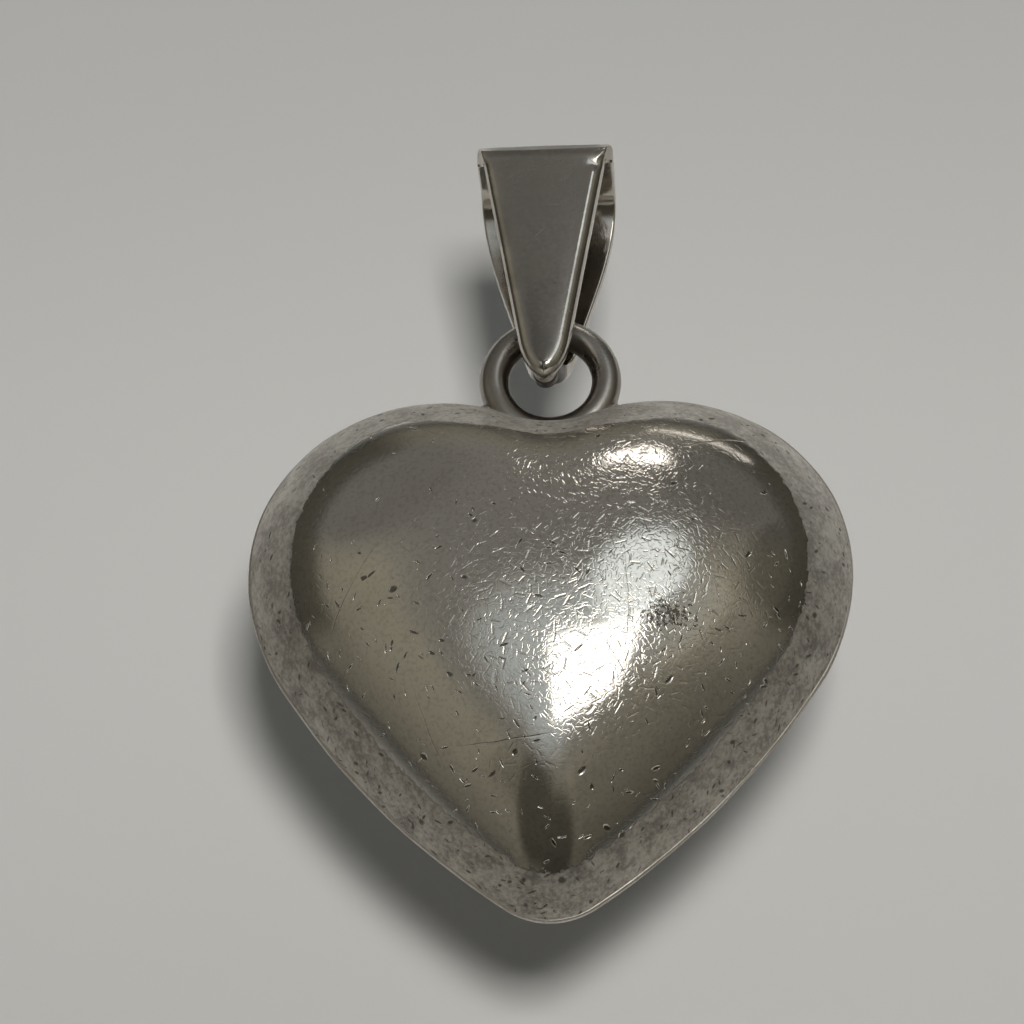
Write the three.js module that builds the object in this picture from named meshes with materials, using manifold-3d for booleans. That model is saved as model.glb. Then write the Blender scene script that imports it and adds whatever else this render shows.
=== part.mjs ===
// A hollow puffed heart pendant in silver: two die-struck half shells soldered together at the edge,
// a round wire ring soldered upright in the cleft, and a tapered strip bail hung through the ring.
//
// Millimetres, +Z up, the heart's front faces -Y. The origin is the seat of the neck chain, on the
// inside of the bail's top, and the pendant hangs from it at rest.

import * as THREE from "three";
import { mergeVertices } from "three/addons/utils/BufferGeometryUtils.js";
import Module from "manifold-3d";

// Heart outline, seen from the front: arcs that run into each other with no corner
const HEART_WIDTH = 25;
const LOBE_RADIUS = 7.7;
const CLEFT_RADIUS = 5;
const FLANK_RADIUS = 10.2;
const SIDE_RADIUS = 33;
const TIP_RADIUS = 3;
const TIP_DROP = 15.6; // from the widest line down to the tip

// Dome of each half shell
const DOME_HEIGHT = 6.4; // from the flat rim to the crown
const CROWN_DROP = 3; // from the widest line down to the crown
const CROWN_RADIUS = 10; // of the round that the level lines turn into towards the crown
const CROWN_SHARE = 0.3; // share of the height that is a plain parabola
const RIM_POWER = 3.6; // higher is flatter on top
const RIM_ROOT = 1.25; // higher is steeper at the rim
const SHELL_WALL = 0.5;
const VENT_DIAMETER = 0.8; // lets hot air out while the hollow form is soldered shut
const VENT_DROP = 3.2; // from the bottom of the cleft down to the vent

// Solder seam around the edge
const SEAM_THICKNESS = 0.3;
const SEAM_PROUD = 0.12;
const SEAM_SHOULDER = 0.75; // share of the proud height halfway across the bead

// Hanging ring
const RING_RADIUS = 2.4; // to the middle of the wire
const WIRE_DIAMETER = 1.26;
const RING_SUNK = 0.9; // how far the ring is let into the cleft
const SEAT_GAP = 0.1; // between the ring and its notch
const FILLET_RADIUS = 0.6; // of the solder beside the ring
const FILLET_GAP = 0.06;

// Bail: a strip folded at the top, with a flat front leg, a bowed back leg and joined tips
const BAIL_TOP_WIDTH = 5.3; // at the front fold
const BAIL_SHOULDER_WIDTH = 5.9; // behind the fold, at the top of the back leg
const BAIL_SHOULDER_FROM = 0.1; // share of the back leg, from its tip, where it starts to broaden
const BAIL_SHOULDER_TO = 0.9; // and where it is broadest
const BAIL_TIP_WIDTH = 1.6; // of the front leg, where its round end starts
const BAIL_TIP_LENGTH = 1.6; // of the front leg's round end
const BAIL_BACK_TIP_WIDTH = 1; // of the back leg, hidden behind the front one
const BAIL_THICKNESS = 0.85;
const BAIL_BEVEL = 0.32; // along the edges of the outer face
const BAIL_RISE = 7.4; // from the ring's top wire up to the front fold
const BAIL_TAIL = 3.2; // from the ring's top wire down to the tips
const BAIL_FOLD_RADIUS = 0.5; // to the middle of the strip
const BAIL_FRONT_REACH = 1.7; // clear space in front of the middle of the ring's wire
const BAIL_BACK_REACH = 1.9; // clear space behind it
const BAIL_BOW = 0.9; // pull of the back leg's curve
const BAIL_CRADLE = 0.55; // clear space under the ring's wire
const BAIL_TURN_RADIUS = 0.55; // of the turn into the back tip, to the middle of the strip
const BAIL_JOINT = 0.3; // between the two tips, filled with solder
const BAIL_JOINT_GAP = 0.05;
const BAIL_TWIST_DEG = 2; // the bail sits a little turned on the ring
const HEART_ASIDE = 0.14; // the ring hangs a little to the right of the bail's middle
const TIP_END_DEG = 25; // where the round of a tip is cut off flat
const BEVEL_LIMIT = 0.8; // the most of a narrow strip's half width that the bevel takes

// Facets
const CLEFT_STEPS = 4;
const LOBE_STEPS = 15;
const FLANK_STEPS = 7;
const SIDE_STEPS = 5;
const TIP_STEPS = 5;
const OUTER_ROWS = 12;
const INNER_ROWS = 8;
const RING_STEPS = 48;
const WIRE_SIDES = 12;
const FOLD_STEPS = 6;
const BOW_STEPS = 12;
const CRADLE_STEPS = 8;
const TIP_ROUND_STEPS = 6;
const VENT_SIDES = 16;
const FILLET_SIDES = 20;
const FILLET_ROWS = 14;
const WELD = 1e-5; // points nearer than this are one point

const POLISHED_SILVER = { color: 0xb9b3a8, roughness: 0.22, metalness: 1 };
const WORN_SILVER = { color: 0xa39d93, roughness: 0.34, metalness: 1 };
const SOLDER = { color: 0xc3beb4, roughness: 0.4, metalness: 1 };

const wasm = await Module();
wasm.setup();

// Solids, for cutting one shape with another

function solidOf(geometry) {
  const bare = new THREE.BufferGeometry();
  bare.setAttribute("position", geometry.getAttribute("position"));
  bare.setIndex(geometry.index);
  const merged = mergeVertices(bare, WELD);
  const mesh = new wasm.Mesh({
    numProp: 3,
    vertProperties: merged.attributes.position.array,
    triVerts: new Uint32Array(merged.index.array),
  });
  return new wasm.Manifold(mesh);
}

function geometryOf(solid) {
  const mesh = solid.getMesh();
  const geometry = new THREE.BufferGeometry();
  geometry.setAttribute("position", new THREE.BufferAttribute(mesh.vertProperties, 3));
  geometry.setIndex(new THREE.BufferAttribute(mesh.triVerts, 1));
  geometry.computeVertexNormals();
  return geometry;
}

// A closed skin over rings of points. The end rings are filled in from the two end points, or with
// no end points the last ring closes on the first.
function skinOf(rings, ends) {
  const around = rings[0].length;
  const points = rings.flat();
  const faces = [];
  const spans = ends ? rings.length - 1 : rings.length;
  for (let i = 0; i < spans; i++) {
    const row = i * around;
    const next = ((i + 1) % rings.length) * around;
    for (let j = 0; j < around; j++) {
      const k = (j + 1) % around;
      faces.push(row + j, row + k, next + k);
      faces.push(row + j, next + k, next + j);
    }
  }
  if (ends) {
    const first = points.length;
    const last = first - around;
    points.push(...ends);
    for (let j = 0; j < around; j++) {
      const k = (j + 1) % around;
      faces.push(first, k, j);
      faces.push(first + 1, last + j, last + k);
    }
  }
  const geometry = new THREE.BufferGeometry().setFromPoints(points);
  geometry.setIndex(faces);
  geometry.computeVertexNormals();
  return geometry;
}

// Where two circles cross, on the left of the way from the first centre to the second
function crossingOf(a, radiusA, b, radiusB) {
  const way = b.clone().sub(a);
  const apart = way.length();
  const along = (radiusA ** 2 - radiusB ** 2 + apart ** 2) / (2 * apart);
  const aside = Math.sqrt(radiusA ** 2 - along ** 2);
  way.divideScalar(apart);
  const left = new THREE.Vector2(-way.y, way.x);
  return a.clone().addScaledVector(way, along).addScaledVector(left, aside);
}

// Heart outline

const lobe = new THREE.Vector2(HEART_WIDTH / 2 - LOBE_RADIUS, 0);
const cleft = new THREE.Vector2(0, Math.sqrt((LOBE_RADIUS + CLEFT_RADIUS) ** 2 - lobe.x ** 2));
const flank = new THREE.Vector2(HEART_WIDTH / 2 - FLANK_RADIUS, 0);
const tip = new THREE.Vector2(0, TIP_RADIUS - TIP_DROP);
const side = crossingOf(tip, SIDE_RADIUS - TIP_RADIUS, flank, SIDE_RADIUS - FLANK_RADIUS);
const cleftBottom = cleft.y - CLEFT_RADIUS;

function bearing(from, to) {
  return Math.atan2(to.y - from.y, to.x - from.x);
}

// The outline grown by an offset, clockwise from the bottom of the cleft
function outline(offset) {
  const right = [];
  const arc = (centre, radius, from, to, steps) => {
    for (let i = 0; i < steps; i++) {
      const a = from + ((to - from) * i) / steps;
      const spoke = new THREE.Vector2(Math.cos(a), Math.sin(a));
      right.push(centre.clone().addScaledVector(spoke, radius));
    }
  };
  const cleftEnd = bearing(cleft, lobe);
  const flankEnd = bearing(side, flank);
  const sideEnd = bearing(side, tip);
  arc(cleft, CLEFT_RADIUS - offset, -Math.PI / 2, cleftEnd, CLEFT_STEPS);
  arc(lobe, LOBE_RADIUS + offset, cleftEnd + Math.PI, 0, LOBE_STEPS);
  arc(flank, FLANK_RADIUS + offset, 0, flankEnd, FLANK_STEPS);
  arc(side, SIDE_RADIUS + offset, flankEnd, sideEnd, SIDE_STEPS);
  arc(tip, TIP_RADIUS + offset, sideEnd, -Math.PI / 2, TIP_STEPS);
  const left = right.slice(1).map((p) => new THREE.Vector2(-p.x, p.y));
  return [...right, new THREE.Vector2(0, -TIP_DROP - offset), ...left.reverse()];
}

// Front dome

const crown = new THREE.Vector2(0, -CROWN_DROP);

function crownPoint(offset) {
  return new THREE.Vector3(crown.x, -SEAM_THICKNESS / 2 - DOME_HEIGHT - offset, crown.y);
}

// Level lines from the rim to just short of the crown. Each is the outline drawn in towards the
// crown, and they turn from a heart into a round on the way.
function domeRings(offset, rows) {
  const spokes = outline(offset).map((p) => p.sub(crown));
  const rings = [];
  for (let i = 0; i < rows; i++) {
    const r = Math.cos((i / rows) * (Math.PI / 2));
    const heartShare = 1 - (1 - r * r) ** 2;
    const steep = (1 - r ** RIM_POWER) ** (1 / RIM_ROOT);
    const rise = CROWN_SHARE * (1 - r * r) + (1 - CROWN_SHARE) * steep;
    const depth = SEAM_THICKNESS / 2 + (DOME_HEIGHT + offset) * rise;
    const ring = spokes.map((spoke) => {
      const reach = r * (heartShare + ((1 - heartShare) * CROWN_RADIUS) / spoke.length());
      return new THREE.Vector3(crown.x + spoke.x * reach, -depth, crown.y + spoke.y * reach);
    });
    rings.push(ring);
  }
  return rings;
}

const toBack = (p) => new THREE.Vector3(p.x, -p.y, p.z);

// A half shell is a bowl: in from one crown to the rim, over the flat rim, and out to the other crown
function frontShell() {
  const outside = domeRings(0, OUTER_ROWS).reverse();
  const inside = domeRings(-SHELL_WALL, INNER_ROWS);
  return solidOf(skinOf([...outside, ...inside], [crownPoint(0), crownPoint(-SHELL_WALL)]));
}

function backShell() {
  const inside = domeRings(-SHELL_WALL, INNER_ROWS).reverse();
  const outside = domeRings(0, OUTER_ROWS);
  const rings = [...inside, ...outside].map((ring) => ring.map(toBack));
  return solidOf(skinOf(rings, [crownPoint(-SHELL_WALL), crownPoint(0)].map(toBack)));
}

// The whole heart grown by an offset, for cutting what lies against it
function heartLump(offset) {
  const front = domeRings(offset, OUTER_ROWS);
  const back = front.map((ring) => ring.map(toBack));
  const ends = [crownPoint(offset), toBack(crownPoint(offset))];
  return solidOf(skinOf([...front.reverse(), ...back], ends));
}

function ventDrill() {
  const length = DOME_HEIGHT + SEAM_THICKNESS;
  const radius = VENT_DIAMETER / 2;
  const drill = new THREE.CylinderGeometry(radius, radius, length, VENT_SIDES);
  const fromSeam = SEAM_THICKNESS + length / 2;
  return solidOf(drill.translate(0, fromSeam, cleftBottom - VENT_DROP));
}

// Seam: a bead between the two rims that stands a little proud of the edge

function seamBead() {
  const half = SEAM_THICKNESS / 2;
  const shoulder = SEAM_PROUD * SEAM_SHOULDER;
  const profile = [
    [-SHELL_WALL, -half],
    [0, -half],
    [shoulder, -half / 2],
    [SEAM_PROUD, 0],
    [shoulder, half / 2],
    [0, half],
    [-SHELL_WALL, half],
  ];
  const ringAt = ([offset, y]) => outline(offset).map((p) => new THREE.Vector3(p.x, y, p.y));
  return solidOf(skinOf(profile.map(ringAt), null));
}

// Hanging ring and the solder beside it

const ringOuter = RING_RADIUS + WIRE_DIAMETER / 2;
const ringCentre = cleftBottom - RING_SUNK + ringOuter;
const pivot = ringCentre + RING_RADIUS; // middle of the ring's wire at its top

function ringGeometry(gap) {
  const wire = WIRE_DIAMETER / 2 + gap;
  const torus = new THREE.TorusGeometry(RING_RADIUS, wire, WIRE_SIDES, RING_STEPS);
  return torus.rotateX(Math.PI / 2).translate(0, 0, ringCentre);
}

const notch = solidOf(ringGeometry(SEAT_GAP));

function ringFillet(sign) {
  const middle = new THREE.Vector2(0, ringCentre);
  const crevice = crossingOf(middle, ringOuter, lobe, LOBE_RADIUS);
  const lump = new THREE.SphereGeometry(FILLET_RADIUS, FILLET_SIDES, FILLET_ROWS);
  lump.translate(sign * crevice.x, 0, crevice.y);
  const clearRing = solidOf(ringGeometry(FILLET_GAP));
  return solidOf(lump).subtract(clearRing).subtract(heartLump(SEAM_PROUD + FILLET_GAP));
}

// Bail strip, in a frame of its own with the middle of the ring's wire at 0

const halfStrip = BAIL_THICKNESS / 2;
const frontPlane = -BAIL_FRONT_REACH - halfStrip;
const backPlane = frontPlane + BAIL_THICKNESS + BAIL_JOINT;
const bowPlane = BAIL_BACK_REACH + halfStrip;
const topPlane = BAIL_RISE + BAIL_FOLD_RADIUS;
const cradlePlane = -WIRE_DIAMETER / 2 - BAIL_CRADLE - halfStrip;
const chainSeat = topPlane - halfStrip;
const turnStart = backPlane + BAIL_TURN_RADIUS;
const tabTop = cradlePlane - BAIL_TURN_RADIUS;
const frontTip = { width: BAIL_TIP_WIDTH, length: BAIL_TIP_LENGTH };
const backTip = { width: BAIL_BACK_TIP_WIDTH, length: BAIL_BACK_TIP_WIDTH / 2 };
const tipEnd = THREE.MathUtils.degToRad(TIP_END_DEG);

// Width of a tip's round end at a distance from the tip: half an ellipse with its very end cut off
function tipWidthAt(tip, fromTip) {
  const left = Math.max(0, Math.cos(tipEnd) - fromTip / tip.length);
  return tip.width * Math.sqrt(1 - left ** 2);
}

// The front leg tapers straight, and the back leg keeps broad shoulders before it draws in
const straightTaper = (t) => t;
function shoulderedTaper(t) {
  return THREE.MathUtils.smoothstep(t, BAIL_SHOULDER_FROM, BAIL_SHOULDER_TO);
}

// Width of a leg at a distance from its tip
function widthAt(leg, fromTip) {
  const growth = leg.width - leg.tip.width;
  return tipWidthAt(leg.tip, fromTip) + growth * leg.taper(fromTip / leg.length);
}

// Distances from a tip that follow its round evenly
function roundSteps(tip) {
  const steps = [];
  for (let i = 0; i <= TIP_ROUND_STEPS; i++) {
    const a = THREE.MathUtils.lerp(tipEnd, Math.PI / 2, i / TIP_ROUND_STEPS);
    steps.push(tip.length * (Math.cos(tipEnd) - Math.cos(a)));
  }
  return steps;
}

const at = (y, z) => new THREE.Vector2(y, z);

// The middle of the strip in the Y and Z plane, from the front tip up and over to the back tip
function bailPath() {
  const quarter = Math.PI / 2;
  const front = new THREE.LineCurve(at(frontPlane, -BAIL_TAIL), at(frontPlane, BAIL_RISE));
  const foldStart = frontPlane + BAIL_FOLD_RADIUS;
  const foldSize = [BAIL_FOLD_RADIUS, BAIL_FOLD_RADIUS];
  const fold = new THREE.EllipseCurve(foldStart, BAIL_RISE, ...foldSize, 2 * quarter, quarter, true);
  const bow = new THREE.CubicBezierCurve(
    at(0, topPlane),
    at(bowPlane + BAIL_BOW, topPlane),
    at(bowPlane, BAIL_RISE / 2),
    at(bowPlane, 0),
  );
  const cradle = new THREE.EllipseCurve(0, 0, bowPlane, -cradlePlane, 0, -quarter, true);
  const floor = new THREE.LineCurve(at(0, cradlePlane), at(turnStart, cradlePlane));
  const turnSize = [BAIL_TURN_RADIUS, BAIL_TURN_RADIUS];
  const turn = new THREE.EllipseCurve(turnStart, tabTop, ...turnSize, quarter, 2 * quarter, false);
  const tab = new THREE.LineCurve(at(backPlane, tabTop), at(backPlane, -BAIL_TAIL));
  return { front, fold, bow, cradle, floor, turn, tab };
}

function bailStrip() {
  const { front, fold, bow, cradle, floor, turn, tab } = bailPath();
  const frontLength = front.getLength();
  const backLength = [bow, cradle, floor, turn, tab].reduce((sum, c) => sum + c.getLength(), 0);
  const frontLeg = {
    tip: frontTip,
    width: BAIL_TOP_WIDTH,
    length: frontLength,
    taper: straightTaper,
  };
  const backLeg = {
    tip: backTip,
    width: BAIL_SHOULDER_WIDTH,
    length: backLength,
    taper: shoulderedTaper,
  };
  const rings = [];
  const section = (curve, t, width) => {
    const p = curve.getPointAt(t);
    const along = curve.getTangentAt(t);
    const half = width / 2;
    const bevel = Math.min(BAIL_BEVEL, half * BEVEL_LIMIT);
    const corners = [
      [-half, -halfStrip],
      [-half, halfStrip - bevel],
      [bevel - half, halfStrip],
      [half - bevel, halfStrip],
      [half, halfStrip - bevel],
      [half, -halfStrip],
    ];
    const place = ([x, out]) => new THREE.Vector3(x, p.x - along.y * out, p.y + along.x * out);
    rings.push(corners.map(place));
  };
  for (const d of [...roundSteps(frontTip), frontLength]) {
    section(front, d / frontLength, widthAt(frontLeg, d));
  }
  for (let i = 1; i <= FOLD_STEPS; i++) {
    const t = i / FOLD_STEPS;
    section(fold, t, THREE.MathUtils.lerp(BAIL_TOP_WIDTH, BAIL_SHOULDER_WIDTH, t));
  }
  let gone = 0;
  const back = [
    [bow, BOW_STEPS],
    [cradle, CRADLE_STEPS],
    [floor, 1],
    [turn, FOLD_STEPS],
  ];
  for (const [curve, steps] of back) {
    const first = curve === bow ? 0 : 1;
    for (let i = first; i <= steps; i++) {
      const d = backLength - gone - (curve.getLength() * i) / steps;
      section(curve, i / steps, widthAt(backLeg, d));
    }
    gone += curve.getLength();
  }
  for (const d of roundSteps(backTip).reverse()) {
    section(tab, 1 - d / tab.getLength(), widthAt(backLeg, d));
  }
  const middle = (ring) => ring[0].clone().add(ring[3]).multiplyScalar(0.5);
  return skinOf(rings, [middle(rings[0]), middle(rings.at(-1))]);
}

// Solder between the two tips
function bailSolder() {
  const round = roundSteps(backTip).map((d) => at(tipWidthAt(backTip, d) / 2, d - BAIL_TAIL));
  const half = round.at(-1).x;
  const right = [...round, at(half, tabTop)];
  const left = right.map((p) => at(-p.x, p.y)).reverse();
  const shape = new THREE.Shape([...right, ...left]);
  const depth = BAIL_JOINT - 2 * BAIL_JOINT_GAP;
  const plate = new THREE.ExtrudeGeometry(shape, { depth, bevelEnabled: false });
  const inner = frontPlane + halfStrip + BAIL_JOINT_GAP;
  return plate.rotateX(Math.PI / 2).translate(0, inner + depth, 0);
}

// The pendant

function piece(name, geometry, look) {
  const mesh = new THREE.Mesh(geometry, new THREE.MeshStandardMaterial(look));
  mesh.name = name;
  return mesh;
}

const heart = new THREE.Group();
heart.position.set(HEART_ASIDE, 0, -chainSeat - pivot);
heart.add(
  piece("heart_front_shell", geometryOf(frontShell().subtract(notch)), POLISHED_SILVER),
  piece(
    "heart_back_shell",
    geometryOf(backShell().subtract(notch).subtract(ventDrill())),
    POLISHED_SILVER,
  ),
  piece("seam_solder", geometryOf(seamBead().subtract(notch)), SOLDER),
  piece("hanging_ring", ringGeometry(0), WORN_SILVER),
  piece("ring_solder_left", geometryOf(ringFillet(-1)), SOLDER),
  piece("ring_solder_right", geometryOf(ringFillet(1)), SOLDER),
);

const bail = new THREE.Group();
bail.position.z = -chainSeat;
bail.rotation.z = -THREE.MathUtils.degToRad(BAIL_TWIST_DEG);
bail.add(
  piece("bail_strip", bailStrip(), WORN_SILVER),
  piece("bail_tip_solder", bailSolder(), SOLDER),
);

const pendant = new THREE.Group();
pendant.add(heart, bail);
export default pendant;
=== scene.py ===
"""The look of a hollow puffed heart pendant in worn silver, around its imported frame.

Metres, +Z up, the heart's front faces -Y, and the origin is the seat of the neck chain in the bail.
Shapes are worked out in millimetres as whole arrays and scaled when they become a mesh."""

import math

import bpy
import numpy as np
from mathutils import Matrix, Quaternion, Vector


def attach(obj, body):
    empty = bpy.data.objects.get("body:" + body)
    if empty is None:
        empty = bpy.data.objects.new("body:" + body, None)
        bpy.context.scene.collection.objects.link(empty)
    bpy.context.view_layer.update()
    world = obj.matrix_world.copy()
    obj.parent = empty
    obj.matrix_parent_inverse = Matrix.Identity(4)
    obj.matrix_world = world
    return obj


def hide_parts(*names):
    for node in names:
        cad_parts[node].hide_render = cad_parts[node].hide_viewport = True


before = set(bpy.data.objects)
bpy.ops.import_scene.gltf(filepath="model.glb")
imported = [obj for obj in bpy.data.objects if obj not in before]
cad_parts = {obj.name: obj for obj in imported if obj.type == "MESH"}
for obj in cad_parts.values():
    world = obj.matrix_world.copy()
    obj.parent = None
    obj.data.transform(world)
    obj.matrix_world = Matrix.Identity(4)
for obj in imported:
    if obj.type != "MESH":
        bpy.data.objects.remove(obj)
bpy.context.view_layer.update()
MM = 0.001

# Heart outline, in millimetres like all sizes of the part
HEART_WIDTH = 25.0
LOBE_RADIUS = 7.7
CLEFT_RADIUS = 5.0
FLANK_RADIUS = 10.2
SIDE_RADIUS = 33.0
TIP_RADIUS = 3.0
TIP_DROP = 15.6

# Dome of each half shell
DOME_HEIGHT = 6.4
CROWN_DROP = 3.0
CROWN_RADIUS = 10.0
CROWN_SHARE = 0.3
RIM_POWER = 3.6
RIM_ROOT = 1.25
SHELL_WALL = 0.5
VENT_DIAMETER = 0.8
VENT_DROP = 3.2

# Solder seam and hanging ring
SEAM_THICKNESS = 0.3
SEAM_PROUD = 0.12
RING_RADIUS = 2.4
WIRE_DIAMETER = 1.26
RING_SUNK = 0.9

# Bail
BAIL_TOP_WIDTH = 5.3
BAIL_SHOULDER_WIDTH = 5.9
BAIL_SHOULDER_FROM = 0.1
BAIL_SHOULDER_TO = 0.9
BAIL_TIP_WIDTH = 1.6
BAIL_TIP_LENGTH = 1.6
BAIL_BACK_TIP_WIDTH = 1.0
BAIL_THICKNESS = 0.85
BAIL_RISE = 7.4
BAIL_TAIL = 3.2
BAIL_FOLD_RADIUS = 0.5
BAIL_FRONT_REACH = 1.7
BAIL_BACK_REACH = 1.9
BAIL_BOW = 0.9
BAIL_CRADLE = 0.55
BAIL_TURN_RADIUS = 0.55
BAIL_JOINT = 0.3
BAIL_TWIST_DEG = 2.0
HEART_ASIDE = 0.14

# Wear
BAND_START = 0.856  # share of the way out to the rim where the rough band starts
BAND_FALL = 0.0035  # taken from that share for each millimetre up
BAND_IN_CLEFT = 0.125  # taken from it in the cleft
BAND_EDGE = 0.03  # share of the way over which the band sets in
WORN_BEVEL = 0.42  # along the edges of the bail's outer face
FOLD_BEVEL_LOSS = 0.75  # share of the bevel that is missing round the fold
FLAT_LEAN_DEG = 46.0  # of the flat that is rubbed on the fold
FLAT_DEPTH = 0.09
KNOCK_ASIDE = 2.2  # of the knock in the bail's front leg
KNOCK_UP = 6.95
KNOCK_RADIUS = 0.24
KNOCK_DEPTH = 0.07
RING_DULL = 0.75

# Places that follow from the sizes
LOBE = np.array([HEART_WIDTH / 2 - LOBE_RADIUS, 0.0])
CLEFT = np.array([0.0, math.sqrt((LOBE_RADIUS + CLEFT_RADIUS) ** 2 - LOBE[0] ** 2)])
FLANK = np.array([HEART_WIDTH / 2 - FLANK_RADIUS, 0.0])
TIP = np.array([0.0, TIP_RADIUS - TIP_DROP])
CLEFT_BOTTOM = CLEFT[1] - CLEFT_RADIUS
RING_OUTER = RING_RADIUS + WIRE_DIAMETER / 2
RING_CENTRE = CLEFT_BOTTOM - RING_SUNK + RING_OUTER
HALF_STRIP = BAIL_THICKNESS / 2
CHAIN_SEAT = BAIL_RISE + BAIL_FOLD_RADIUS - HALF_STRIP
WIDEST_LINE = -CHAIN_SEAT - RING_CENTRE - RING_RADIUS


# Meshes


def skin(rings, ends=None, closed=False):
    """Quads over a stack of rings of points, each quad between two neighbours of one ring and of the
    next; the end rings are filled in from two end points, or the last ring closes on the first."""
    count, around = rings.shape[:2]
    points = rings.reshape(-1, 3)
    j = np.arange(around)
    k = (j + 1) % around
    row = np.arange(count if closed else count - 1)[:, None] * around
    after = (row + around) % (count * around)
    quads = np.stack([row + j, row + k, after + k, after + j], axis=-1).reshape(-1, 4)
    faces = quads.tolist()
    if ends is not None:
        first = len(points)
        last = first - around
        points = np.vstack([points, ends])
        faces += np.stack([np.full(around, first), k, j], axis=-1).tolist()
        faces += np.stack([np.full(around, first + 1), last + j, last + k], axis=-1).tolist()
    return points, faces


def smooth(mesh, sharp_deg=60.0):
    """Shades a mesh smooth, but for edges that turn by more than an angle."""
    mesh.polygons.foreach_set("use_smooth", np.ones(len(mesh.polygons), bool))
    mesh.set_sharp_from_angle(angle=math.radians(sharp_deg))


def piece(name, points, faces, body, node, slot, marks=None):
    """A smooth closed mesh in metres that rides on a body in place of its plain solid."""
    mesh = bpy.data.meshes.new(name)
    mesh.from_pydata((points * MM).tolist(), [], faces)
    mesh.validate()
    smooth(mesh)
    for label, values in (marks or {}).items():
        layer = mesh.attributes.new(label, "FLOAT", "POINT")
        layer.data.foreach_set("value", values.astype(np.float32))
    thing = bpy.data.objects.new(name, mesh)
    bpy.context.scene.collection.objects.link(thing)
    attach(thing, body)
    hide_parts(node)
    return thing


def hung(points):
    """Heart sizes count from the heart's widest line; the part hangs from the chain's seat."""
    return points + np.array([HEART_ASIDE, 0.0, WIDEST_LINE])


# Heart


def crossing(a, radius_a, b, radius_b):
    """Where two circles cross, left of the way from a to b: along the way by the difference of the
    squares of the radii, then aside by the other leg of the right triangle."""
    way = b - a
    apart = np.hypot(*way)
    along = (radius_a**2 - radius_b**2 + apart**2) / (2 * apart)
    aside = math.sqrt(radius_a**2 - along**2)
    way = way / apart
    return a + way * along + np.array([-way[1], way[0]]) * aside


SIDE = crossing(TIP, SIDE_RADIUS - TIP_RADIUS, FLANK, SIDE_RADIUS - FLANK_RADIUS)


def bearing(start, end):
    """The angle of the way from one point to another."""
    return math.atan2(end[1] - start[1], end[0] - start[0])


def heart_outline(offset):
    """Five tangent arcs from the cleft to the tip, mirrored for the left half, and grown outwards by
    an offset: centre plus radius times the spoke at each angle, clockwise."""
    cleft_end = bearing(CLEFT, LOBE)
    flank_end = bearing(SIDE, FLANK)
    side_end = bearing(SIDE, TIP)
    arcs = [
        (CLEFT, CLEFT_RADIUS - offset, -math.pi / 2, cleft_end, 24),
        (LOBE, LOBE_RADIUS + offset, cleft_end + math.pi, 0.0, 100),
        (FLANK, FLANK_RADIUS + offset, 0.0, flank_end, 48),
        (SIDE, SIDE_RADIUS + offset, flank_end, side_end, 60),
        (TIP, TIP_RADIUS + offset, side_end, -math.pi / 2, 36),
    ]
    right = []
    for centre, radius, start, end, steps in arcs:
        a = np.linspace(start, end, steps, endpoint=False)
        right.append(centre + radius * np.stack([np.cos(a), np.sin(a)], axis=-1))
    right = np.vstack(right)
    left = right[:0:-1] * np.array([-1.0, 1.0])
    return np.vstack([right, [[0.0, -TIP_DROP - offset]], left])


def dome(offset, rows):
    """Level lines of the front dome from rim to crown: the outline drawn in by the cosine of the row's
    angle, turning from a heart into a round, at a height that mixes a parabola with a steeper rim.
    Returns the rings, the crown point and each row's share of the way out to the rim."""
    crown = np.array([0.0, -CROWN_DROP])
    spokes = heart_outline(offset) - crown
    reach = np.hypot(spokes[:, 0], spokes[:, 1])
    r = np.cos(np.arange(rows) / rows * (math.pi / 2))
    heart_share = 1 - (1 - r * r) ** 2
    steep = (1 - r**RIM_POWER) ** (1 / RIM_ROOT)
    rise = CROWN_SHARE * (1 - r * r) + (1 - CROWN_SHARE) * steep
    depth = SEAM_THICKNESS / 2 + (DOME_HEIGHT + offset) * rise
    draw = r[:, None] * (heart_share[:, None] + (1 - heart_share[:, None]) * CROWN_RADIUS / reach)
    x = crown[0] + spokes[:, 0] * draw
    z = crown[1] + spokes[:, 1] * draw
    y = np.broadcast_to(-depth[:, None], x.shape)
    top = np.array([[crown[0], -SEAM_THICKNESS / 2 - DOME_HEIGHT - offset, crown[1]]])
    return np.stack([x, y, z], axis=-1), top, r


def handled(points, r):
    """Years of wear on a dome: crossed sine waves press it in by hundredths of a millimetre, and a few
    knocks press round bell-shaped hollows, all fading out towards the rim."""
    x, y, z = np.moveaxis(points, -1, 0)
    waves = [
        (0.80, 0.42, 0.3, 0.020),
        (-0.55, 1.10, 1.7, 0.012),
        (1.75, -1.20, 4.1, 0.005),
    ]
    knocks = [
        (5.3, -4.8, 0.5, 0.03),
        (-2.6, -9.6, 0.6, 0.02),
        (-5.2, -5.6, 0.7, 0.02),
        (3.0, 1.4, 0.8, 0.02),
    ]
    pressed = np.zeros_like(x)
    for along_x, along_z, start, depth in waves:
        pressed += depth * (1 + np.sin(along_x * x + along_z * z + start)) / 2
    for at_x, at_z, radius, depth in knocks:
        pressed += depth * np.exp(-((x - at_x) ** 2 + (z - at_z) ** 2) / radius**2)
    return np.stack([x, y + pressed * (1 - r**8), z], axis=-1)


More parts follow.
